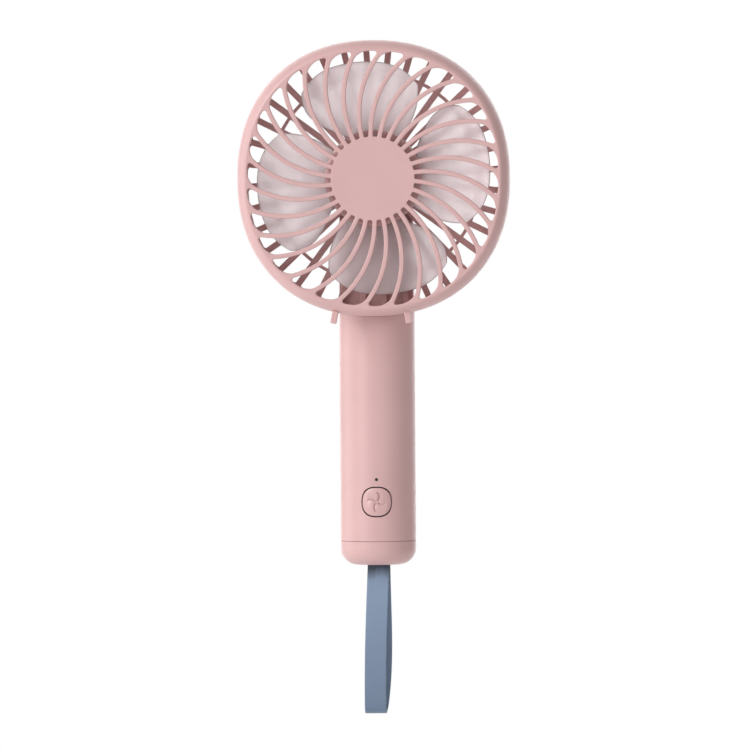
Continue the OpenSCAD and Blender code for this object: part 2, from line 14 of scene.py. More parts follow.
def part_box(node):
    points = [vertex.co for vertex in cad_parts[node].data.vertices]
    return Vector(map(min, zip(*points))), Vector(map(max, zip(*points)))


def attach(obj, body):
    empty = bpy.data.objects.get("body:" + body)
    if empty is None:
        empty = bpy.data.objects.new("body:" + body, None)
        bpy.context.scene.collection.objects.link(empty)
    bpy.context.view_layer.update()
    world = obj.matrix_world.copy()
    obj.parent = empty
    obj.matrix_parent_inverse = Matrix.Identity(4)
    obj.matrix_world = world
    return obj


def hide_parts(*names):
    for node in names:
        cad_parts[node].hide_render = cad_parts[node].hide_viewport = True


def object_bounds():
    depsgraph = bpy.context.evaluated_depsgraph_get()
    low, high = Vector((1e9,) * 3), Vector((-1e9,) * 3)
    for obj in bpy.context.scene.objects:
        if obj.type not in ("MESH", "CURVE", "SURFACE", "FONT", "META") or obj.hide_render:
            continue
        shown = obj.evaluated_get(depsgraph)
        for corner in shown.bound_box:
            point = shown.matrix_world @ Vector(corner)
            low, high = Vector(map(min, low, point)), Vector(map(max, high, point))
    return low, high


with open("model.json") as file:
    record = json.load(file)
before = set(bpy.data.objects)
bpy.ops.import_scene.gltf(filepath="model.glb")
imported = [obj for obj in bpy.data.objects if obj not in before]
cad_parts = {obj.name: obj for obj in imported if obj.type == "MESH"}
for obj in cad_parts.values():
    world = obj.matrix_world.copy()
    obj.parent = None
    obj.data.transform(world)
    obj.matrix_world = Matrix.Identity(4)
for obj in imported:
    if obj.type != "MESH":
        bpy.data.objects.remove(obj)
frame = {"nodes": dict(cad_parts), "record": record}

CAD_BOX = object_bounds()
MM = 0.001

# Camera: a long lens, a little to the right of the object and a little above it
CAMERA_YAW = 2.46
CAMERA_TILT = 1.53
CAMERA_ROLL = -0.4
CAMERA_DISTANCE = 6.0
CAMERA_LENS = 747.5
CAMERA_TARGET = Vector((-0.89, 0.0, 20.96)) * MM

# Studio
FLOOR_DROP = 350 * MM
FLOOR_RADIUS = 2.5
WORLD_LIGHT = 0.46
LIGHTS = (
    # name, place in metres, width and height, watts
    ("key", (-1.5, -1.5, 0.9), (0.8, 1.5), 31),
    ("fill", (0.4, -2.2, 0.2), (1.4, 1.4), 2.4),
    ("side", (-2.2, 0.5, 0.3), (1.3, 2.0), 13),
    ("top", (-0.2, -0.3, 1.8), (1.2, 1.2), 1.5),
    ("backdrop", (0.0, 1.6, 0.2), (2.4, 2.4), 26),
)

# Head outline and guards
HEAD_POWER = 2.2
OUTLINE_STEPS = 240
FRONT_ROUND_W = 3.5 * MM
FRONT_ROUND_D = 7 * MM
FRONT_ROUND_POWER = 1.6
REAR_ROUND = 2.2 * MM
RIM_BAND = 4.1 * MM
REAR_RING_INSET = 2.7 * MM
REAR_GAP_INSET = 3.2 * MM
GUARD_WALL = 1.6 * MM
FACE_T = 2.2 * MM
INNER_SLOPE_W = 1.4 * MM
INNER_SLOPE_D = 3.3 * MM
SEAM_GAP = 0.3 * MM
SEAM_ROUND = 0.25 * MM
EDGE_ROUND = 0.4 * MM
FRONT_RIBS = 30
FRONT_RIB_W = 1.75 * MM
RIB_SWEEP = 18.0
RIB_PHASE = 9.75
DISC_R = 16.1 * MM
SLOT_FILLET_LEFT = 2.6 * MM
SLOT_FILLET_RIGHT = 1.6 * MM
SLOT_FILLET_INNER = 0.5 * MM
FILLET_REACH_LEFT = 0.5
FILLET_REACH_RIGHT = 0.26
FILLET_REACH_INNER = 0.2
REAR_SPOKES = 36
REAR_SPOKE_W = 2.4 * MM
REAR_PHASE = 6.25
TIE_RING_R = 40.2 * MM
TIE_RING_W = 1.3 * MM
LIP_GAP = 0.15 * MM
POD_COLLAR = 0.9 * MM
TAB_TIPS = (-15.7 * MM, 13.5 * MM)
TAB_SIZE = Vector((2.4, 3.0, 4.9)) * MM
TAB_DROP = 2.6 * MM
TAB_SETBACK = 4.9 * MM
TAB_LEAN = 11.0
TAB_ROUND = 0.35 * MM

# Impeller
BLADES = 4
BLADE_PHASE = -5.6
BLADE_LEAD = -41.0
BLADE_LEAD_CURVE = 0.064
BLADE_LEAD_R = 33 * MM
BLADE_TRAIL = 41.0
BLADE_TRAIL_CURVE = 0.021
BLADE_TIP_R = 46.2 * MM
BLADE_TIP_SLOPE = 2.2 * MM
BLADE_CORNER_REAR = 3.4 * MM
BLADE_CORNER_FRONT = 4.4 * MM
BLADE_DEPTH = 11 * MM
BLADE_SETBACK = 1 * MM
BLADE_CUP = 1.6 * MM
BLADE_ROOT = 0.7 * MM
BLADE_ROUND = 0.45 * MM
# Width of the painted shade along the blades' free edges
BLADE_EDGE_SHADE_W = 0.5 * MM
SLEEVE_WALL = 1.4 * MM
SLEEVE_GAP = 0.1 * MM

# Strap
STRAP_W = 8.3 * MM
STRAP_T = 1.4 * MM
STRAP_ROUND = 0.3 * MM
STRAP_EYE_R = 1.06 * MM
STRAP_LOOP_R = 3.2 * MM
STRAP_DRIFT = -1.4 * MM
STRAP_BELLY = 2.0 * MM
STRAP_BLEND = 0.8 * MM
STRAP_TONES_AND_PAINTED_SHADE = (
    # height, from the loop's end to the cap, and colour: the band's own blue-grey, with painted shade
    # darkening it towards the loop's end and a nearly black painted shadow just below the cap
    (0.06, (0.148, 0.200, 0.293)),
    (0.45, (0.190, 0.250, 0.355)),
    (0.72, (0.222, 0.298, 0.415)),
    (0.82, (0.215, 0.285, 0.400)),
    (0.885, (0.055, 0.070, 0.102)),
)

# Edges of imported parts
BUTTON_ROUND = 0.12 * MM


# ---- Small helpers ----

def link(name, mesh, material, body, slot, *replaced):
    """Makes an object of a finished mesh, gives it its look, and fastens it to its body."""
    obj = bpy.data.objects.new(name, mesh)
    bpy.context.scene.collection.objects.link(obj)
    mesh.materials.append(material)
    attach(obj, body)
    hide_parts(*replaced)
    return obj


def finish_mesh(name, bm):
    """Turns a closed bmesh into a smooth-shaded mesh whose normals face out."""
    bmesh.ops.recalc_face_normals(bm, faces=bm.faces)
    mesh = bpy.data.meshes.new(name)
    bm.to_mesh(mesh)
    bm.free()
    mesh.shade_smooth()
    return mesh


def soften(obj, width):
    """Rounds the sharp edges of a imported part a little, so that they catch the light."""
    weld = obj.modifiers.new("weld", "WELD")
    weld.merge_threshold = 0.001 * MM
    bevel = obj.modifiers.new("soft_edges", "BEVEL")
    bevel.limit_method = "ANGLE"
    bevel.angle_limit = math.radians(50)
    bevel.width = width
    bevel.segments = 2
    bevel.harden_normals = True


def keep_flats(obj):
    """Keeps flat faces flat beside their rounded edges."""
    modifier = obj.modifiers.new("flat_faces", "WEIGHTED_NORMAL")
    modifier.mode = "FACE_AREA"
    modifier.weight = 80


def bridge(bm, ring_a, ring_b):
    """Skins the gap between two closed rings of vertices with the same count."""
    for i, a in enumerate(ring_a):
        j = (i + 1) % len(ring_a)
        bm.faces.new((a, ring_a[j], ring_b[j], ring_b[i]))


def fill_between(bm, rings):
    """Fills the flat area between an outer ring of vertices and the rings inside it."""
    edges = []
    for ring in rings:
        for i, vert in enumerate(ring):
            after = ring[(i + 1) % len(ring)]
            edges.append(bm.edges.get((vert, after)) or bm.edges.new((vert, after)))
    bmesh.ops.triangle_fill(bm, edges=edges, use_beauty=True)


def flat_polar(radius, degrees):
    """A point in X and Z at a radius and a clockwise angle from the top."""
    a = math.radians(degrees)
    return Vector((radius * math.sin(a), radius * math.cos(a)))


def round_off(size, far):
    """How far a quarter-round of this size falls away, at a share far of its reach."""
    return size * (1 - math.sqrt(max(0.0, 1 - far * far)))


def spread(count):
    """Numbers from 0 to 1, closer together near both ends."""
    return [(1 - math.cos(math.pi * i / count)) / 2 for i in range(count + 1)]


# ---- Sizes taken from the frame ----

HUB_LO, HUB_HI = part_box("hub_cap")
CENTRE = (HUB_LO + HUB_HI) / 2
RIM_LO, RIM_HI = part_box("front_rim")
REAR_LO, REAR_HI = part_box("rear_rim")
HALF_W = RIM_HI.x
HALF_H = RIM_HI.z - CENTRE.z
FRONT_Y = RIM_LO.y
SPLIT_Y = RIM_HI.y
REAR_Y = REAR_HI.y
LIP_Y = REAR_LO.y
REAR_INSET = RIM_HI.x - REAR_HI.x
POD_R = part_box("motor_pod")[1].x
HUB_R = HUB_HI.x
SLEEVE_R = HUB_R - SLEEVE_GAP
IMPELLER_LO, IMPELLER_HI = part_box("impeller")
STRAP_LO, STRAP_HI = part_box("strap")
CAP_LOW_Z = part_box("bottom_cap")[0].z


def outline_r(degrees, inset):
    """Radius of the head's rounded-square outline in one direction."""
    a = math.radians(degrees)
    x = abs(math.sin(a)) / (HALF_W - inset)
    z = abs(math.cos(a)) / (HALF_H - inset)
    return 1 / (x ** HEAD_POWER + z ** HEAD_POWER) ** (1 / HEAD_POWER)


# ---- Guards ----

def head_ring(bm, inset, y):
    """A ring of vertices along the head's outline."""
    ring = []
    for i in range(OUTLINE_STEPS):
        angle = i * 360 / OUTLINE_STEPS
        p = flat_polar(outline_r(angle, inset), angle)
        ring.append(bm.verts.new((p.x, y, CENTRE.z + p.y)))
    return ring


def sweep_outline(bm, profile):
    """Skins a profile of (inset, y) points round the head, and returns its first and last rings."""
    rings = [head_ring(bm, inset, y) for inset, y in profile]
    for a, b in zip(rings, rings[1:]):
        bridge(bm, a, b)
    return rings[0], rings[-1]


def rounding(inset, y_end, way, width, depth, power, steps=14):
    """Profile points of a rounded edge that ends at y_end, from the head's side to its face."""
    points = []
    for i in range(steps + 1):
        a = math.pi / 2 * i / steps
        across = width * (1 - max(0.0, math.cos(a)) ** (2 / power))
        along = depth * (1 - math.sin(a) ** (2 / power))
        points.append((inset + across, y_end + way * along))
    return points


def seam_edge(inset, y, way):
    """Profile points of the small rounded edge beside the seam, from the head's side to the seam's face."""
    return [
        (inset, y - way * SEAM_ROUND),
        (inset + 0.4 * SEAM_ROUND, y - way * 0.28 * SEAM_ROUND),
        (inset + SEAM_ROUND, y),
    ]


def grown(loop, distance):
    """A loop of flat points moved outwards by a distance."""
    count = len(loop)
    turn = sum(loop[i - 1].cross(loop[i]) for i in range(count))
    side = 1 if turn > 0 else -1
    points = []
    for i in range(count):
        before = (loop[i] - loop[i - 1]).normalized()
        after = (loop[(i + 1) % count] - loop[i]).normalized()
        along = (before + after).normalized()
        reach = distance / max(0.5, along.dot(after))
        points.append(loop[i] + side * reach * Vector((along.y, -along.x)))
    return points


def hole_wall(bm, loop, y0, y1, steps=3):
    """The wall of a hole with rounded edges, and its first and last rings of vertices."""
    stations = []
    for i in range(steps + 1):
        a = math.pi / 2 * i / steps
        stations.append((EDGE_ROUND * (1 - math.sin(a)), EDGE_ROUND * (1 - math.cos(a))))
    levels = [(out, y0 + deep) for out, deep in stations]
    levels += [(out, y1 - deep) for out, deep in reversed(stations)]
    rings = []
    for out, y in levels:
        rings.append([bm.verts.new((p.x, y, CENTRE.z + p.y)) for p in grown(loop, out)])
    for a, b in zip(rings, rings[1:]):
        bridge(bm, a, b)
    return rings[0], rings[-1]


def pierced_guard(profile, loops, y0, y1, bore=0):
    """A closed shell: a rim swept along the profile, and a plate from y0 to y1 pierced by the loops.

    The profile starts on the plate's face at y0 and ends on its face at y1.
    """
    bm = bmesh.new()
    start, end = sweep_outline(bm, profile)
    first, last = [start], [end]
    if bore:
        circle = [flat_polar(bore + 0.01 * MM, i * 3) for i in range(120)]
        a, b = ([bm.verts.new((p.x, y, CENTRE.z + p.y)) for p in circle] for y in (y0, y1))
        bridge(bm, a, b)
        first.append(a)
        last.append(b)
    for loop in loops:
        a, b = hole_wall(bm, loop, y0, y1)
        first.append(a)
        last.append(b)
    fill_between(bm, first)
    fill_between(bm, last)
    return bm


def rib_angle(k, radius):
    """Clockwise angle of a front rib's centre line, which leaves the disc straight, then sweeps round."""
    t = max(0.0, (radius - DISC_R) / (HALF_W - RIM_BAND - DISC_R))
    return RIB_PHASE + k * 360 / FRONT_RIBS + RIB_SWEEP * t ** 1.5


def rib_half(radius):
    """Half a front rib's width as an angle, allowing for its lean."""
    step = 0.1 * MM
    turn = math.radians(rib_angle(0, radius + step) - rib_angle(0, radius))
    lean = math.atan(radius * turn / step)
    return math.degrees(math.asin(FRONT_RIB_W / 2 / math.cos(lean) / radius))


def slot_point(k, u, radius):
    """A point in the slot between ribs k and k + 1, where u is 0 at its left side and 1 at its right."""
    left = rib_angle(k, radius) + rib_half(radius)
    right = rib_angle(k + 1, radius) - rib_half(radius)
    return flat_polar(radius, left + u * (right - left))


def slot_ends(k):
    """Functions of u that give the outer and the inner end of a front slot."""
    middle = HALF_W - RIM_BAND
    lean = (rib_angle(k, middle) + rib_angle(k + 1, middle)) / 2
    end = outline_r(lean, RIM_BAND)

    def outer(u):
        left = round_off(SLOT_FILLET_LEFT, max(0.0, 1 - u / FILLET_REACH_LEFT))
        right = round_off(SLOT_FILLET_RIGHT, max(0.0, 1 - (1 - u) / FILLET_REACH_RIGHT))
        return end - left - right

    def inner(u):
        edge = max(0.0, 1 - min(u, 1 - u) / FILLET_REACH_INNER)
        return DISC_R + round_off(SLOT_FILLET_INNER, edge)

    return outer, inner


def front_slot(k, side_steps=20, end_steps=18):
    """The outline of one curved slot, clockwise from its inner left corner."""
    outer, inner = slot_ends(k)
    loop = []
    for i in range(side_steps):
        radius = inner(0) + (outer(0) - inner(0)) * i / side_steps
        loop.append(slot_point(k, 0, radius))
    loop += [slot_point(k, u, outer(u)) for u in spread(end_steps)]
    for i in range(1, side_steps + 1):
        radius = outer(1) + (inner(1) - outer(1)) * i / side_steps
        loop.append(slot_point(k, 1, radius))
    loop += [slot_point(k, 1 - u, inner(1 - u)) for u in spread(8)[1:-1]]
    return loop


def rear_gap(middle, low, high, steps=8):
    """The opening between two straight spokes, from radius low to radius high or to the rim."""
    half_step = 180 / REAR_SPOKES

    def point(share, side):
        radius = low + (high - low) * share
        half = half_step - math.degrees(math.asin(REAR_SPOKE_W / 2 / radius))
        angle = middle + side * half
        limit = outline_r(angle, REAR_GAP_INSET)
        return flat_polar(min(radius, limit), angle)

    loop = [point(j / steps, -1) for j in range(steps)]
    loop += [point(1, -1 + j / 3) for j in range(7)]
    loop += [point(1 - j / steps, 1) for j in range(1, steps)]
    loop += [point(0, 1 - j / 2) for j in range(4)]
    return loop


def rear_gaps():
    """Two rings of openings, inside and outside the ring that ties the spokes together."""
    loops = []
    for i in range(REAR_SPOKES):
        middle = REAR_PHASE + (i + 0.5) * 360 / REAR_SPOKES
        loops.append(rear_gap(middle, POD_R + POD_COLLAR, TIE_RING_R - TIE_RING_W / 2))
        loops.append(rear_gap(middle, TIE_RING_R + TIE_RING_W / 2, max(HALF_W, HALF_H)))
    return loops


def add_tab(bm, x):
    """A flat tab with rounded edges, which hangs below the front guard and leans outwards."""
    made = bmesh.ops.create_cube(bm, size=1)["verts"]
    bmesh.ops.scale(bm, verts=made, vec=TAB_SIZE)
    bmesh.ops.translate(bm, verts=made, vec=(0, 0, TAB_SIZE.z / 2))
    lean = Matrix.Rotation(math.radians(math.copysign(TAB_LEAN, -x)), 4, "Y")
    foot = Vector((x, FRONT_Y + TAB_SETBACK, CENTRE.z - HALF_H - TAB_DROP))
    bmesh.ops.transform(bm, verts=made, matrix=Matrix.Translation(foot) @ lean)
    edges = list({edge for vert in made for edge in vert.link_edges})
    bmesh.ops.bevel(bm, geom=edges, offset=TAB_ROUND, segments=3, profile=0.5, affect="EDGES")


def make_front_guard():
    """The front disc, its curved ribs, the rim and the two tabs, as the one moulding they are."""
    back = FRONT_Y + FACE_T
    edge = rounding(0, FRONT_Y, 1, FRONT_ROUND_W, FRONT_ROUND_D, FRONT_ROUND_POWER)
    profile = edge[::-1] + seam_edge(0, SPLIT_Y, 1)
    profile += [(GUARD_WALL, SPLIT_Y), (GUARD_WALL, back + INNER_SLOPE_D)]
    profile.append((GUARD_WALL + INNER_SLOPE_W, back))
    slots = [front_slot(k) for k in range(FRONT_RIBS)]
    bm = pierced_guard(profile, slots, FRONT_Y, back)
    for x in TAB_TIPS:
        add_tab(bm, x)
    guard = link("front_guard_shell", finish_mesh("front_guard_shell", bm), PINK,
                 "front_guard", "pink_plastic", "front_grille", "front_rim")
    keep_flats(guard)


def make_rear_guard():
    """The rear spokes, their tie ring and the rim with its lip."""
    front = REAR_Y - FACE_T
    seam = SPLIT_Y + SEAM_GAP
    inner = REAR_RING_INSET
    lip = GUARD_WALL + LIP_GAP
    profile = [(inner, front), (inner, LIP_Y), (lip, LIP_Y), (lip, seam)]
    profile += seam_edge(REAR_INSET, seam, -1)[::-1]
    profile += rounding(REAR_INSET, REAR_Y, -1, REAR_ROUND, REAR_ROUND, 2, 8)
    bm = pierced_guard(profile, rear_gaps(), front, REAR_Y, POD_R)
    guard = link("rear_guard_shell", finish_mesh("rear_guard_shell", bm), PINK,
                 "handle", "pink_plastic", "rear_grille", "rear_rim")
    keep_flats(guard)


# ---- Impeller ----

def blade_spine(u, radius):
    """Where a blade's middle surface lies: an angle and a distance along Y. u runs from its rear edge."""
    reach = (radius - HUB_R) / (BLADE_TIP_R - HUB_R)
    lead = BLADE_LEAD + BLADE_LEAD_CURVE * ((radius - BLADE_LEAD_R) / MM) ** 2
    trail = BLADE_TRAIL - BLADE_TRAIL_CURVE * ((radius - HUB_R) / MM) ** 2
    depth = BLADE_DEPTH * (1 - 0.35 * reach)
    middle = (HUB_LO.y + IMPELLER_HI.y) / 2 + BLADE_SETBACK
    y = middle + depth * (0.5 - u) - BLADE_CUP * 4 * u * (1 - u)
    return (1 - u) * lead + u * trail, y


def blade_tip(u):
    """Radius of a blade's outer edge, which falls away at both corners."""
    corner = BLADE_CORNER_REAR if u < 0.5 else BLADE_CORNER_FRONT
    return BLADE_TIP_R - BLADE_TIP_SLOPE * u - corner * abs(2 * u - 1) ** 5


def edge_distance(u, v):
    """How far a point of a blade lies from its nearest free edge, roughly."""
    chord = 30 * MM * (0.8 + 0.6 * v)
    span = BLADE_TIP_R - SLEEVE_R
    return min(u * chord, (1 - u) * chord, (1 - v) * span)


def blade_half(u, v):
    """Half a blade's thickness, which rounds off to nothing at its free edges."""
    body = (0.75 - 0.3 * v) * MM * (0.45 + 0.55 * math.sqrt(max(0.0, 4 * u * (1 - u))))
    edge = edge_distance(u, v)
    return body * math.sqrt(max(0.0, 1 - (1 - min(1.0, edge / BLADE_ROUND)) ** 2))


def blade_surface(bm, turn, side, border, us, vs):
    """One face of a blade. The two faces share the vertices of the free edges."""
    near_edge = bm.verts.layers.float["near_edge"]
    grid = []
    root = SLEEVE_R - BLADE_ROOT
    for j, v in enumerate(vs):
        row = []
        for i, u in enumerate(us):
            on_edge = i in (0, len(us) - 1) or j == len(vs) - 1
            if on_edge and (i, j) in border:
                row.append(border[i, j])
                continue
            radius = root + v * (blade_tip(u) - root)
            angle, y = blade_spine(u, radius)
            p = flat_polar(radius, angle + turn)
            vert = bm.verts.new((p.x, y + side * blade_half(u, v), CENTRE.z + p.y))
            # How much painted edge shade the frosted material puts on this point
            vert[near_edge] = max(0.0, 1 - edge_distance(u, v) / BLADE_EDGE_SHADE_W)
            if on_edge:
                border[i, j] = vert
            row.append(vert)
        grid.append(row)
    for low, high in zip(grid, grid[1:]):
        for i in range(len(us) - 1):
            bm.faces.new((low[i], low[i + 1], high[i + 1], high[i]))
    return grid[0]


def run_up(edge, fine):
    """Numbers from 0 towards edge that start close together, for a rounded edge."""
    return [edge * (1 - math.cos(math.pi / 2 * i / fine)) for i in range(fine)]


def run_down(edge, fine):
    """Numbers up to 1 that end close together, for the opposite rounded edge."""
    return [1 - r for r in reversed(run_up(edge, fine))]


def add_sleeve(bm, steps=128):
    """The tube that carries the blades, with rounded ends."""
    front = IMPELLER_LO.y
    back = IMPELLER_HI.y
    inner = SLEEVE_R - SLEEVE_WALL
    soft = 0.3 * MM
    profile = [(inner, front), (SLEEVE_R - soft, front), (SLEEVE_R, front + soft),
               (SLEEVE_R, back - soft), (SLEEVE_R - soft, back), (inner, back)]
    rings = []
    for radius, y in profile:
        points = [flat_polar(radius, i * 360 / steps) for i in range(steps)]
        rings.append([bm.verts.new((p.x, y, CENTRE.z + p.y)) for p in points])
    for a, b in zip(rings, rings[1:] + rings[:1]):
        bridge(bm, a, b)


def make_impeller(edge=0.015, fine=5, across=36, out=26):
    """The sleeve and its blades, in one mesh. Each blade's grid is finer near its free edges."""
    bm = bmesh.new()
    bm.verts.layers.float.new("near_edge")
    middle = [edge + (1 - 2 * edge) * i / across for i in range(across + 1)]
    us = run_up(edge, fine) + middle + run_down(edge, fine)
    vs = [(1 - edge) * i / out for i in range(out + 1)] + run_down(edge, fine)
    for i in range(BLADES):
        border = {}
        turn = BLADE_PHASE + i * 360 / BLADES
        front_root = blade_surface(bm, turn, -1, border, us, vs)
        back_root = blade_surface(bm, turn, 1, border, us, vs)
        for j in range(len(us) - 1):
            corners = (front_root[j], back_root[j], back_root[j + 1], front_root[j + 1])
            distinct = list(dict.fromkeys(corners))
            bm.faces.new(distinct)
    add_sleeve(bm)
    impeller = link("impeller_moulding", finish_mesh("impeller_moulding", bm), FROST,
                    "impeller", "frosted_plastic", "impeller")
    keep_flats(impeller)


# ---- Strap ----

def strap_path(steps_run=48, steps_turn=16):
    """Centre line of the loop in Y and Z: over the top, down the front, round the end and up the back."""
    top_r = STRAP_EYE_R + STRAP_T / 2
    low_r = STRAP_LOOP_R + STRAP_T / 2
    top = Vector((0.0, STRAP_HI.z - top_r - STRAP_T / 2))
    low = Vector((0.0, STRAP_LO.z + low_r + STRAP_T / 2))
    lean = math.asin((low_r - top_r) / (top.y - low.y))
    points = []
    for i in range(steps_turn + 1):
        a = lean + (math.pi - 2 * lean) * i / steps_turn
        points.append(top + top_r * Vector((math.cos(a), math.sin(a))))
    front_low = low + low_r * Vector((-math.cos(lean), math.sin(lean)))
    for i in range(1, steps_run):
        points.append(points[steps_turn].lerp(front_low, i / steps_run))
    for i in range(steps_turn * 2 + 1):
        a = math.pi - lean + (math.pi + 2 * lean) * i / (steps_turn * 2)
        points.append(low + low_r * Vector((math.cos(a), math.sin(a))))
    back_low = points[-1]
    for i in range(1, steps_run):
        points.append(back_low.lerp(points[0], i / steps_run))
    return points


def band_section(half_w, half_t, radius, steps=3):
    """A flat rounded rectangle, as (across, out) points."""
    section = []
    for corner in range(4):
        across = (half_w - radius) * (1 if corner in (0, 3) else -1)
        out = (half_t - radius) * (1 if corner in (0, 1) else -1)
        for i in range(steps + 1):
            a = math.pi / 2 * (corner + i / steps)
            section.append((across + radius * math.cos(a), out + radius * math.sin(a)))
    return section


def strap_drift(drop):
    """How far the band has moved sideways at a share of its drop: it swings over, then hangs straight."""
    return STRAP_DRIFT * math.sin(math.pi / 2 * min(1.0, max(0.0, (drop - 0.1) / 0.75)))


def strap_belly(drop):
    """How far the back run bulges past the front run."""
    return STRAP_BELLY * math.sin(math.pi * min(1.0, drop) ** 1.5) ** 0.8


def make_strap():
    """The band, swept round its loop as one closed skin."""
    points = strap_path()
    count = len(points)
    section = band_section(STRAP_W / 2, STRAP_T / 2, STRAP_ROUND)
    top, length = STRAP_HI.z, STRAP_HI.z - STRAP_LO.z
    bm = bmesh.new()
    rings = []
    for i, p in enumerate(points):
        along = (points[(i + 1) % count] - points[i - 1]).normalized()
        out = Vector((along.y, -along.x))
        drop = (top - p.y) / length
        back = 1 / (1 + math.exp(-p.x / STRAP_BLEND))
        drift = strap_drift(drop) + back * strap_belly(drop)
        ring = []
        for across, thick in section:
            q = p - out * thick
            ring.append(bm.verts.new((across + drift, q.x, q.y)))
        rings.append(ring)
    for a, b in zip(rings, rings[1:] + rings[:1]):
        bridge(bm, a, b)
    strap = link("strap_band", finish_mesh("strap_band", bm), SILICONE, "strap", "strap_silicone", "strap")
    keep_flats(strap)


# ---- Materials ----

def new_material(name):
    """A node material, with its tree and its main shader."""
    material = bpy.data.materials.new(name)
    material.use_nodes = True
    tree = material.node_tree
    return material, tree, tree.nodes["Principled BSDF"]


def add_noise(tree, scale, detail=2.0, stretch=(1, 1, 1)):
    """Noise fixed to the object, at a scale in waves per metre. It runs along the axis stretched least."""
    coords = tree.nodes.new("ShaderNodeTexCoord")
    mapping = tree.nodes.new("ShaderNodeMapping")
    noise = tree.nodes.new("ShaderNodeTexNoise")
    mapping.inputs["Scale"].default_value = stretch
    noise.inputs["Scale"].default_value = scale
    noise.inputs["Detail"].default_value = detail
    tree.links.new(coords.outputs["Object"], mapping.inputs["Vector"])
    tree.links.new(mapping.outputs["Vector"], noise.inputs["Vector"])
    return noise.outputs["Fac"]


def add_range(tree, value, low, high, socket):
    """Spreads a noise value over a range and feeds it to a socket."""
    spread_node = tree.nodes.new("ShaderNodeMapRange")
    spread_node.inputs["From Min"].default_value = 0.3
    spread_node.inputs["From Max"].default_value = 0.7
    spread_node.inputs["To Min"].default_value = low
    spread_node.inputs["To Max"].default_value = high
    tree.links.new(value, spread_node.inputs["Value"])
    tree.links.new(spread_node.outputs["Result"], socket)


def add_ramp(tree, value, stops, socket):
    """Turns a value into a colour, by way of stops of (place, colour) in rising order."""
    node = tree.nodes.new("ShaderNodeValToRGB")
    elements = node.color_ramp.elements
    elements.remove(elements[1])
    elements[0].position, elements[0].color = stops[0][0], (*stops[0][1], 1)
    for place, colour in stops[1:]:
        elements.new(place).color = (*colour, 1)
    tree.links.new(value, node.inputs["Fac"])
    tree.links.new(node.outputs["Color"], socket)


def add_tint(tree, value, dark, light, socket):
    """A slow drift between two near colours."""
    add_ramp(tree, value, ((0.35, dark), (0.65, light)), socket)


def add_bump(tree, height, strength, depth, shader):
    """A fine relief on the shader's surface."""
    bump = tree.nodes.new("ShaderNodeBump")
    bump.inputs["Strength"].default_value = strength
    bump.inputs["Distance"].default_value = depth
    tree.links.new(height, bump.inputs["Height"])
    tree.links.new(bump.outputs["Normal"], shader.inputs["Normal"])


def plastic(name, dark, light, rough, grain=2400.0, depth=0.012, specular=0.7):
    """Moulded plastic: a fine spark-eroded grain, with a little drift in its colour and gloss."""
    material, tree, shader = new_material(name)
    add_tint(tree, add_noise(tree, 45.0), dark, light, shader.inputs["Base Color"])
    add_range(tree, add_noise(tree, 300.0), rough - 0.05, rough + 0.05, shader.inputs["Roughness"])
    add_bump(tree, add_noise(tree, grain, 3.0), 0.4, depth * MM, shader)
    shader.inputs["Specular IOR Level"].default_value = specular
    return material


def metal(name, dark, light, rough, stretch=(1, 1, 1)):
    """Metal with fine tool marks, which run along the axis with the smallest stretch."""
    material, tree, shader = new_material(name)
    add_tint(tree, add_noise(tree, 120.0), dark, light, shader.inputs["Base Color"])
    shader.inputs["Metallic"].default_value = 1.0
    grain = add_noise(tree, 900.0, 4.0, stretch)
    add_range(tree, grain, rough - 0.08, rough + 0.08, shader.inputs["Roughness"])
    add_bump(tree, grain, 0.25, 0.01 * MM, shader)
    return material


def frosted_plastic():
    """Plastic whose frosted surface lets light and dim shapes through, with painted shade darkening the
    blades' free edges into the dark line their rounded edges show.
    """
    material, tree, shader = new_material("frosted_plastic")
    mottle = add_noise(tree, 160.0, 3.0, (1.0, 1.0, 0.35))
    # Painted shade: near the blades' free edges the colour is mixed towards a dark grey.
    edge = tree.nodes.new("ShaderNodeAttribute")
    edge.attribute_name = "near_edge"
    mix = tree.nodes.new("ShaderNodeMix")
    mix.data_type = "RGBA"
    mix.inputs["B"].default_value = (0.42, 0.34, 0.355, 1)
    tree.links.new(edge.outputs["Fac"], mix.inputs["Factor"])
    add_tint(tree, mottle, (0.87, 0.80, 0.815), (0.95, 0.88, 0.895), mix.inputs["A"])
    tree.links.new(mix.outputs["Result"], shader.inputs["Base Color"])
    add_range(tree, add_noise(tree, 420.0), 0.5, 0.57, shader.inputs["Roughness"])
    add_bump(tree, add_noise(tree, 1500.0, 3.0), 0.35, 0.01 * MM, shader)
    shader.inputs["Transmission Weight"].default_value = 0.58
    shader.inputs["IOR"].default_value = 1.35
    return material


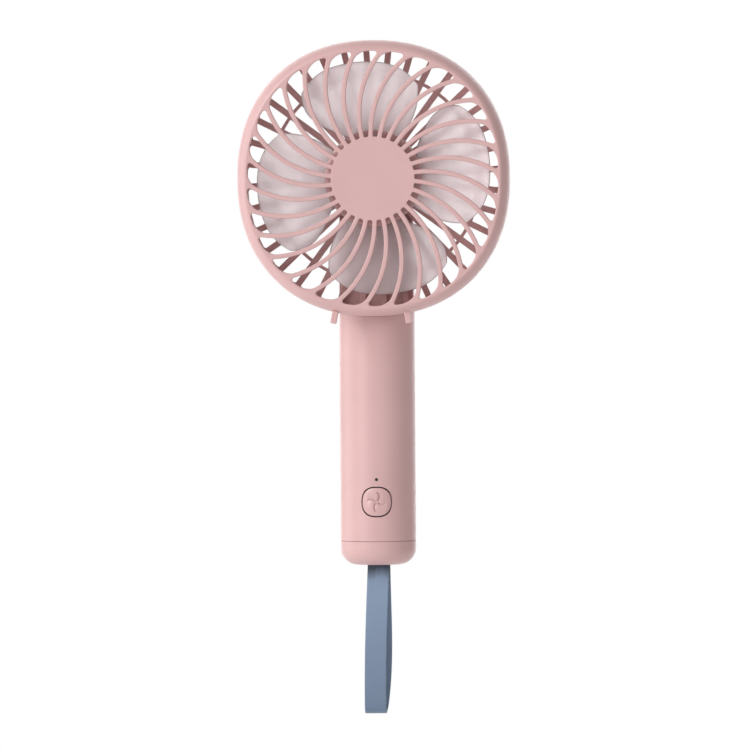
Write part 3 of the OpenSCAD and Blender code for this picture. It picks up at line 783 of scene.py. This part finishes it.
def silicone():
    """Matte silicone with a dusty grain and faint streaks along the band, with painted shade that darkens
    it towards the loop's end and a painted shadow just below the cap.
    """
    material, tree, shader = new_material("strap_silicone")
    coords = tree.nodes.new("ShaderNodeTexCoord")
    split = tree.nodes.new("ShaderNodeSeparateXYZ")
    # The band's height, from the loop's end to the cap, picks painted shade from the colour ramp: darker
    # towards the loop's end, and a painted shadow just below the cap.
    height = tree.nodes.new("ShaderNodeMapRange")
    height.inputs["From Min"].default_value = STRAP_LO.z
    height.inputs["From Max"].default_value = CAP_LOW_Z
    height.inputs["To Max"].default_value = 0.85
    streaks_and_painted_shade = tree.nodes.new("ShaderNodeMath")
    streaks_and_painted_shade.operation = "MULTIPLY_ADD"
    streaks_and_painted_shade.inputs[1].default_value = 0.12
    tree.links.new(coords.outputs["Object"], split.inputs["Vector"])
    tree.links.new(split.outputs["Z"], height.inputs["Value"])
    tree.links.new(add_noise(tree, 260.0, 3.0, (1.0, 1.0, 0.06)), streaks_and_painted_shade.inputs[0])
    tree.links.new(height.outputs["Result"], streaks_and_painted_shade.inputs[2])
    add_ramp(tree, streaks_and_painted_shade.outputs["Value"], STRAP_TONES_AND_PAINTED_SHADE, shader.inputs["Base Color"])
    add_range(tree, add_noise(tree, 700.0), 0.52, 0.66, shader.inputs["Roughness"])
    add_bump(tree, add_noise(tree, 1900.0, 4.0), 0.4, 0.02 * MM, shader)
    shader.inputs["Sheen Weight"].default_value = 0.1
    shader.inputs["Sheen Roughness"].default_value = 0.4
    return material


PINK = plastic("pink_plastic", (0.635, 0.393, 0.384), (0.665, 0.413, 0.404), 0.4)
FROST = frosted_plastic()
SILICONE = silicone()
SLOT_MATERIALS = {
    "pink_plastic": PINK,
    "frosted_plastic": FROST,
    "smoked_plastic": plastic("smoked_plastic", (0.004, 0.004, 0.005), (0.007, 0.007, 0.008), 0.3),
    "strap_silicone": SILICONE,
    "steel": metal("steel", (0.56, 0.56, 0.57), (0.64, 0.64, 0.65), 0.33, (1, 0.1, 1)),
    "alloy": metal("alloy", (0.68, 0.68, 0.69), (0.76, 0.76, 0.77), 0.38, (1, 8, 1)),
    "copper_wire": metal("copper_wire", (0.62, 0.27, 0.12), (0.72, 0.34, 0.17), 0.3, (1, 6, 1)),
    "magnet": plastic("magnet", (0.016, 0.016, 0.018), (0.03, 0.03, 0.032), 0.6, 900.0, 0.05),
    "board_laminate": plastic("board_laminate", (0.008, 0.075, 0.03), (0.014, 0.11, 0.05), 0.32, 700.0),
    "wire_insulation": plastic("wire_insulation", (0.02, 0.02, 0.022), (0.032, 0.032, 0.034), 0.4),
    "black_plastic": plastic("black_plastic", (0.011, 0.011, 0.012), (0.02, 0.02, 0.021), 0.45),
    "cell_wrap": plastic("cell_wrap", (0.025, 0.13, 0.30), (0.035, 0.16, 0.35), 0.26, 400.0, 0.02),
    "foam": plastic("foam", (0.014, 0.014, 0.015), (0.04, 0.04, 0.042), 0.9, 900.0, 0.3, 0.1),
    "white_plastic": plastic("white_plastic", (0.70, 0.70, 0.67), (0.77, 0.77, 0.74), 0.42),
}


def finish_cad_nodes():
    """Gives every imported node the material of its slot."""
    for part in frame["record"]["subparts"]:
        mesh = frame["nodes"][part["node"]].data
        mesh.materials.clear()
        mesh.materials.append(SLOT_MATERIALS[part["material_slot"]])
    soften(frame["nodes"]["power_button"], BUTTON_ROUND)


# ---- Camera and studio ----

def make_camera():
    """A camera that looks at its target from the yaw, tilt and roll above."""
    data = bpy.data.cameras.new("camera")
    camera = bpy.data.objects.new("camera", data)
    bpy.context.scene.collection.objects.link(camera)
    data.lens = CAMERA_LENS
    data.sensor_width = 36.0
    data.clip_start = 0.1
    data.clip_end = 50.0
    yaw, tilt = math.radians(CAMERA_YAW), math.radians(CAMERA_TILT)
    back = Vector((math.sin(yaw) * math.cos(tilt), -math.cos(yaw) * math.cos(tilt), math.sin(tilt)))
    camera.location = CAMERA_TARGET + back * CAMERA_DISTANCE
    look = (-back).to_track_quat("-Z", "Y").to_matrix()
    camera.rotation_euler = (look @ Matrix.Rotation(math.radians(CAMERA_ROLL), 3, "Z")).to_euler()
    bpy.context.scene.camera = camera


def make_area_light(name, place, size, power):
    """A soft box that faces the head and stays out of the picture."""
    data = bpy.data.lights.new(name, "AREA")
    data.shape = "RECTANGLE"
    data.size, data.size_y = size
    data.energy = power
    light = bpy.data.objects.new(name, data)
    bpy.context.scene.collection.objects.link(light)
    light.location = place
    light.rotation_euler = (CENTRE - Vector(place)).to_track_quat("-Z", "Y").to_euler()
    light.visible_camera = False


def make_floor():
    """A wide white floor, well below the object, as for a part hung up to be photographed."""
    bm = bmesh.new()
    bmesh.ops.create_circle(bm, cap_ends=True, segments=96, radius=FLOOR_RADIUS)
    floor = bpy.data.objects.new("floor", finish_mesh("floor", bm))
    floor.location.z = CAD_BOX[0].z - FLOOR_DROP
    bpy.context.scene.collection.objects.link(floor)
    material, tree, shader = new_material("floor_white")
    shader.inputs["Base Color"].default_value = (0.9, 0.9, 0.9, 1)
    add_range(tree, add_noise(tree, 40.0), 0.8, 0.95, shader.inputs["Roughness"])
    floor.data.materials.append(material)


def make_world():
    """Soft light from all round, with a plain white background behind the object."""
    world = bpy.data.worlds.new("studio")
    bpy.context.scene.world = world
    world.use_nodes = True
    tree = world.node_tree
    light = tree.nodes["Background"]
    light.inputs["Color"].default_value = (1, 1, 1, 1)
    light.inputs["Strength"].default_value = WORLD_LIGHT
    backdrop = tree.nodes.new("ShaderNodeBackground")
    backdrop.inputs["Color"].default_value = (1, 1, 1, 1)
    path = tree.nodes.new("ShaderNodeLightPath")
    mix = tree.nodes.new("ShaderNodeMixShader")
    tree.links.new(path.outputs["Is Camera Ray"], mix.inputs["Fac"])
    tree.links.new(light.outputs["Background"], mix.inputs[1])
    tree.links.new(backdrop.outputs["Background"], mix.inputs[2])
    tree.links.new(mix.outputs["Shader"], tree.nodes["World Output"].inputs["Surface"])


def make_studio():
    make_floor()
    make_world()
    for name, place, size, power in LIGHTS:
        make_area_light(name, place, size, power)
    bpy.context.scene.view_settings.view_transform = "Standard"


make_camera()
make_studio()
finish_cad_nodes()
make_front_guard()
make_rear_guard()
make_impeller()
make_strap()
